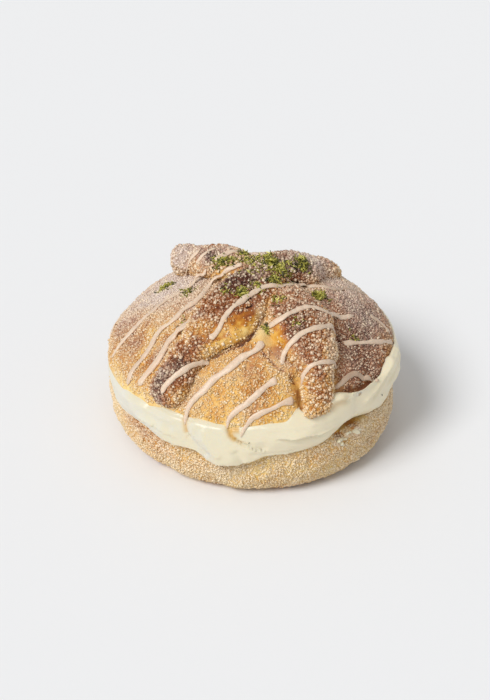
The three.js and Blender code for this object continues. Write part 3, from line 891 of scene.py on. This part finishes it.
iceTree = treeOf(icingLines)
creamClear = {"bun": freeOf(creamTree, bun, *sugar["creamEdge"]),
              "crown": freeOf(creamTree, crown, *sugar["creamEdge"])}
crusts = {"bun": bun, "crown": crown, "over": over, "under": under}
grains = [sprinkle(name, crusts[key], key, kind, count, seed)
          for name, key, kind, count, seed in sugar["sprinkles"]]

print("zest")
zest = {
    "length": (1.0, 3.0), "wide": 0.5, "widths": (0.6, 1.5), "thick": 0.18, "thicknesses": (0.7, 1.6),
    "taper": 0.5, "curl": 1.3, "bend": 0.6, "tumble": 0.95, "rest": 0.2, "seed": 900,
    # x, y, reach, shreds, heap height
    "heaps": [(8, 5, 3.4, 140, 2), (11, 1.5, 2.6, 110, 1.9), (9, -5, 2.3, 90, 2.2), (5, 10, 3, 60, 1),
        (19.5, 10, 2.8, 150, 2.8), (20, 6.5, 2.2, 50, 1.8), (-0.5, 13, 4, 80, 0.9), (-11, 12.5, 3, 90, 0.9),
        (-14, 13, 2.4, 40, 0.6), (-7.5, 12.5, 2.4, 40, 0.7), (26.5, -3, 3, 100, 1.8),
        (-3.6, -12, 2.6, 54, 1.4), (-3, -14.6, 2, 26, 0.8), (-10.4, -11, 2.4, 16, 0.6),
        (1.6, -9.4, 2.2, 18, 0.5), (-34, 19, 3.2, 80, 0.9), (-25, 5, 3.2, 50, 0.6), (6, -26, 2.6, 28, 0.5),
        (17, -28, 2.2, 18, 0.4), (10.5, -16, 3.4, 26, 0.3), (3, -10, 2.6, 24, 0.4), (39, -20, 2.2, 16, 0.4),
        (-26, -15, 2.2, 12, 0.3), (14, -1, 3.4, 36, 0.5), (2, 2, 10, 70, 0.3), (3, 16, 2.6, 50, 2.2),
        (-3, 17, 2.4, 34, 1.6), (7, 12, 2.4, 36, 1.6), (14, 6, 3, 40, 0.8)],
    # the two smallest shreds lie on the cream: angle and height
    "onCream": [(-91, 30), (-30, 30.6)], "smallest": 0.5,
    # darkest shred, how much they differ, and how much lighter the top of a heap is painted: painted light on
    # top, painted shade lower down
    "tone": (0.02, 0.76, 0.26), "toneOnCream": 0.05,
}


def shredShape():
    bpy.ops.mesh.primitive_cube_add(size=1)
    shape = bpy.context.active_object
    bpy.ops.object.mode_set(mode="EDIT")
    bpy.ops.mesh.select_all(action="DESELECT")
    bpy.ops.object.mode_set(mode="OBJECT")
    for edge in shape.data.edges:
        a, b = (shape.data.vertices[i].co for i in edge.vertices)
        edge.select = abs(a.x - b.x) > 0.5
    bpy.ops.object.mode_set(mode="EDIT")
    bpy.ops.mesh.select_mode(type="EDGE")
    bpy.ops.mesh.subdivide(number_cuts=1)
    bpy.ops.object.mode_set(mode="OBJECT")
    return takenApart(shape)


def laidShred(shape, place, facing, lift, rng):
    long = rng.uniform(*zest["length"])
    wide = zest["wide"] * rng.uniform(*zest["widths"])
    body = shape * [long, wide, zest["thick"] * rng.uniform(*zest["thicknesses"])]
    body[:, 1] *= 1 - zest["taper"] * np.abs(shape[:, 0] * 2) ** 2
    body[:, 2] += rng.uniform(-zest["curl"], zest["curl"]) * long * shape[:, 0] ** 2
    body[:, 1] += rng.uniform(-zest["bend"], zest["bend"]) * long * shape[:, 0] ** 2
    lean = Vector(facing + rng.normal(0, zest["tumble"], 3)).normalized()
    turn = np.array(lean.to_track_quat("Z", "X").to_matrix())
    spin = rng.uniform(0, tau)
    c, s = math.cos(spin), math.sin(spin)
    flat = np.array([[c, -s, 0], [s, c, 0], [0, 0, 1]])
    return body @ flat.T @ turn.T + place + facing * (zest["rest"] + lift)


rng = np.random.default_rng(zest["seed"])
shape, shapeFaces = shredShape()
darkest, differ, paintedLightOnTop = zest["tone"]
corners, tones = [], []
for x, y, reach, count, heap in zest["heaps"]:
    for _ in range(count):
        dx, dy = rng.normal(0, reach / 2, 2)
        found = drop(breadTree, x + dx, y + dy)
        if found is None:
            continue
        tall = heap * math.exp(-(dx * dx + dy * dy) / (reach * reach) * 2) * rng.random()
        corners.append(laidShred(shape, *found, tall, rng))
        # higher shreds in a heap are painted lighter: painted light on top, painted shade below
        tones.append(darkest + differ * rng.random() + paintedLightOnTop * tall / heap)
for angle, z in zest["onCream"]:
    out = Vector((math.cos(math.radians(angle)), math.sin(math.radians(angle)), 0))
    hit, facing, _, _ = creamTree.ray_cast(out * 90 + Vector((0, 0, z)), -out)
    corners.append(laidShred(shape * zest["smallest"], np.array(hit), np.array(facing), 0, rng))
    tones.append(zest["toneOnCream"])
zestShreds = packedMesh("lime_zest", np.vstack(corners), shapeFaces, len(corners))
paint(zestShreds, "tone", np.repeat(tones, len(shape)))

print("finishes")


def newFinish(name):
    finish = bpy.data.materials.new(name)
    finish.use_nodes = True
    tree = finish.node_tree
    return finish, tree, tree.nodes["Principled BSDF"]


# each value goes on its socket, and another node's output is linked to it
def feed(tree, made, inputs):
    for key, value in inputs.items():
        if isinstance(value, bpy.types.NodeSocket):
            tree.links.new(value, made.inputs[key])
        else:
            made.inputs[key].default_value = value


def node(tree, kind, inputs, **settings):
    made = tree.nodes.new(kind)
    for key, value in settings.items():
        setattr(made, key, value)
    feed(tree, made, inputs)
    return made


# a screen colour as the shader wants it
def srgb(red, green, blue):
    def line(value):
        value /= 255
        return value / 12.92 if value < 0.04045 else ((value + 0.055) / 1.055) ** 2.4
    return (line(red), line(green), line(blue), 1)


def ramp(tree, factor, stops):
    made = node(tree, "ShaderNodeValToRGB", {"Fac": factor})
    elements = made.color_ramp.elements
    while len(elements) < len(stops):
        elements.new(0.5)
    for element, (place, colour) in zip(elements, stops):
        element.position = place
        element.color = srgb(*colour)
    return made.outputs["Color"]


def mixed(tree, factor, first, second):
    return node(tree, "ShaderNodeMix", {0: factor, 6: first, 7: second}, data_type="RGBA").outputs[2]


def attribute(tree, name):
    return node(tree, "ShaderNodeAttribute", {}, attribute_name=name).outputs["Fac"]


# a pattern that stays with the piece, with spots of the given size
def pattern(tree, kind, size, inputs):
    place = node(tree, "ShaderNodeTexCoord", {}).outputs["Object"]
    return node(tree, kind, {"Vector": place, "Scale": 1 / (size * mm), **inputs})


def speckle(tree, size, detail=3):
    return pattern(tree, "ShaderNodeTexNoise", size, {"Detail": detail, "Roughness": 0.6}).outputs["Fac"]


def maths(tree, operation, *values):
    return node(tree, "ShaderNodeMath", dict(enumerate(values)), operation=operation).outputs[0]


def bump(tree, height, strength, depth):
    inputs = {"Height": height, "Strength": strength, "Distance": depth * mm}
    return node(tree, "ShaderNodeBump", inputs).outputs["Normal"]


crustLook = {
    "stops": [(0.0, (242, 210, 136)), (0.22, (224, 172, 78)), (0.42, (192, 122, 38)), (0.62, (142, 74, 26)),
              (0.8, (94, 42, 18)), (1.0, (52, 24, 14))],
    # size and strength of the browning's blotches and specks, and the size of the sugar in the skin
    "blotch": (2.4, 0.42), "speck": (0.8, 0.32), "cell": 0.62,
    "frostAndShade": (194, 172, 158), "seldom": 2.6,
}
sugarLook = {
    "stops": [(0.0, (241, 214, 154)), (0.35, (228, 183, 114)), (0.65, (176, 112, 62)), (1.0, (108, 60, 40))],
    "white": (250, 230, 200), "frostAndShade": (222, 202, 190), "share": 0.85,
}
# the cream's plain and cloudy tones, then its painted shade colours for the lit side and the left, and the
# brown of crust and painted shade in the creases
creamLook = {
    "plain": (242, 232, 203), "cloudy": (238, 225, 192), "cloud": 14,
    "paintedShade": (216, 209, 184), "leftSideShade": (218, 214, 200), "stainAndShade": (212, 170, 98),
}
icingLook = {"thick": (236, 213, 188), "thin": (211, 185, 161), "sheer": (158, 126, 100), "share": 0.6}
zestLook = [(0.0, (30, 30, 10)), (0.25, (80, 78, 22)), (0.6, (168, 160, 56)), (1.0, (236, 228, 132))]


def crustFinish(name):
    finish, tree, shader = newFinish(name)
    (blotchSize, blotch), (speckSize, speck) = crustLook["blotch"], crustLook["speck"]
    amount = maths(tree, "MULTIPLY_ADD", speckle(tree, blotchSize), blotch, attribute(tree, "toastAndShade"))
    amount = maths(tree, "MULTIPLY_ADD", speckle(tree, speckSize), speck, amount)
    amount = maths(tree, "SUBTRACT", amount, (blotch + speck) / 2)
    colour = ramp(tree, amount, crustLook["stops"])
    grain = pattern(tree, "ShaderNodeTexVoronoi", crustLook["cell"], {})
    chance = node(tree, "ShaderNodeSeparateColor", {"Color": grain.outputs["Color"]}).outputs["Red"]
    light = ramp(tree, amount, sugarLook["stops"])
    white = maths(tree, "POWER", chance, crustLook["seldom"])
    colour = mixed(tree, maths(tree, "MULTIPLY", white, attribute(tree, "sugared")), colour, light)
    colour = mixed(tree, attribute(tree, "frostAndShade"), colour, srgb(*crustLook["frostAndShade"]))
    rough = maths(tree, "MULTIPLY_ADD", attribute(tree, "sugared"), 0.25, 0.32)
    height = maths(tree, "MULTIPLY_ADD", grain.outputs["Distance"], -0.6, speckle(tree, 0.9, 4))
    feed(tree, shader, {"Base Color": colour, "Roughness": rough, "Specular IOR Level": 0.3,
                        "Normal": bump(tree, height, 0.5, 0.3)})
    return finish


def sugarFinish(name):
    finish, tree, shader = newFinish(name)
    colour = ramp(tree, attribute(tree, "toastAndShade"), sugarLook["stops"])
    colour = mixed(tree, attribute(tree, "frostAndShade"), colour, srgb(*sugarLook["frostAndShade"]))
    whiteness = maths(tree, "MULTIPLY", attribute(tree, "tint"), sugarLook["share"])
    colour = mixed(tree, whiteness, colour, srgb(*sugarLook["white"]))
    feed(tree, shader, {"Base Color": colour, "Roughness": 0.2, "Specular IOR Level": 0.6})
    return finish


def creamFinish(name):
    finish, tree, shader = newFinish(name)
    clouds = speckle(tree, creamLook["cloud"], 2)
    colour = mixed(tree, clouds, srgb(*creamLook["plain"]), srgb(*creamLook["cloudy"]))
    # painted shade on the lit side and the left, then crust and painted shade in the creases
    for layer in ("paintedShade", "leftSideShade", "stainAndShade"):
        colour = mixed(tree, attribute(tree, layer), colour, srgb(*creamLook[layer]))
    feed(tree, shader, {
        "Base Color": colour, "Roughness": 0.36, "Subsurface Weight": 0.15, "Subsurface Scale": 1.5 * mm,
        "Subsurface Radius": (1.0, 0.7, 0.4), "Normal": bump(tree, speckle(tree, 3), 0.25, 0.3)})
    return finish


def icingFinish(name):
    finish, tree, shader = newFinish(name)
    colour = mixed(tree, speckle(tree, 1.2), srgb(*icingLook["thin"]), srgb(*icingLook["thick"]))
    seeThrough = maths(tree, "MULTIPLY", attribute(tree, "sheer"), icingLook["share"])
    colour = mixed(tree, seeThrough, colour, srgb(*icingLook["sheer"]))
    feed(tree, shader, {
        "Base Color": colour, "Roughness": 0.42, "Subsurface Weight": 0.2, "Subsurface Scale": 1 * mm,
        "Subsurface Radius": (1.0, 0.7, 0.5), "Normal": bump(tree, speckle(tree, 0.7), 0.4, 0.25)})
    return finish


def zestFinish(name):
    finish, tree, shader = newFinish(name)
    feed(tree, shader, {"Base Color": ramp(tree, attribute(tree, "tone"), zestLook), "Roughness": 0.45,
                        "Normal": bump(tree, speckle(tree, 0.4), 0.3, 0.1)})
    return finish


crust = crustFinish("baked crust")
for piece, nodeName, slotName in ((bun, "bottom_bun", "bun_crust"), (crown, "crown", "crown_crust"),
                                  (over, "strip_over", "strip_crust"), (under, "strip_under", "strip_crust")):
    piece.data.materials.append(crust)
    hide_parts(nodeName)
creamMaterial = creamFinish("whipped cream")
cream.data.materials.append(creamMaterial)
creamCrumbs.data.materials.append(creamMaterial)
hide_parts("cream_filling")
grainFinish = sugarFinish("sugar grains")
for piece in grains:
    piece.data.materials.append(grainFinish)
icingLines.data.materials.append(icingFinish("piped icing"))
zestShreds.data.materials.append(zestFinish("lime zest"))
for piece in [bun, crown, over, under, cream, creamCrumbs, icingLines, zestShreds] + grains:
    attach(piece, "root")

print("stage")
# the floor across, in metres, and its colour; light from all round; the sun's strength, how soft it
# is in degrees, and where it comes from
studio = {"across": 8, "floor": (0.828, 0.833, 0.843), "fill": 0.49,
          "key": 2.28, "keySoftness": 26, "keyFrom": (-0.5, -0.43, 0.75)}
camera = {"rise": 36.2, "lens": 85, "place": (-2.47, -534.1, 421.6), "farthest": 50}  # farthest in metres

bpy.ops.object.select_all(action="DESELECT")
bpy.ops.mesh.primitive_plane_add(size=studio["across"], location=(0, 0, 0))
floor = bpy.context.active_object
floor.name = "floor"
finish, tree, shader = newFinish("pale floor")
feed(tree, shader, {"Base Color": (*studio["floor"], 1), "Roughness": 0.9})
floor.data.materials.append(finish)

world = bpy.data.worlds.new("studio")
world.use_nodes = True
sky = world.node_tree.nodes["Background"]
feed(world.node_tree, sky, {"Color": (1, 1, 1, 1), "Strength": studio["fill"]})
bpy.context.scene.world = world

lamp = bpy.data.lights.new("key", "SUN")
lamp.energy = studio["key"]
lamp.angle = math.radians(studio["keySoftness"])
key = placed("key", lamp)
toKey = Vector(studio["keyFrom"]).normalized()
key.location = toKey * 0.5
key.rotation_euler = toKey.to_track_quat("Z", "Y").to_euler()

bpy.context.scene.view_settings.view_transform = "Standard"
lens = bpy.data.cameras.new("camera")
lens.lens = camera["lens"]
lens.clip_end = camera["farthest"]
view = placed("camera", lens)
view.location = [value * mm for value in camera["place"]]
view.rotation_euler = (math.radians(90 - camera["rise"]), 0, 0)
bpy.context.scene.camera = view

print("done")
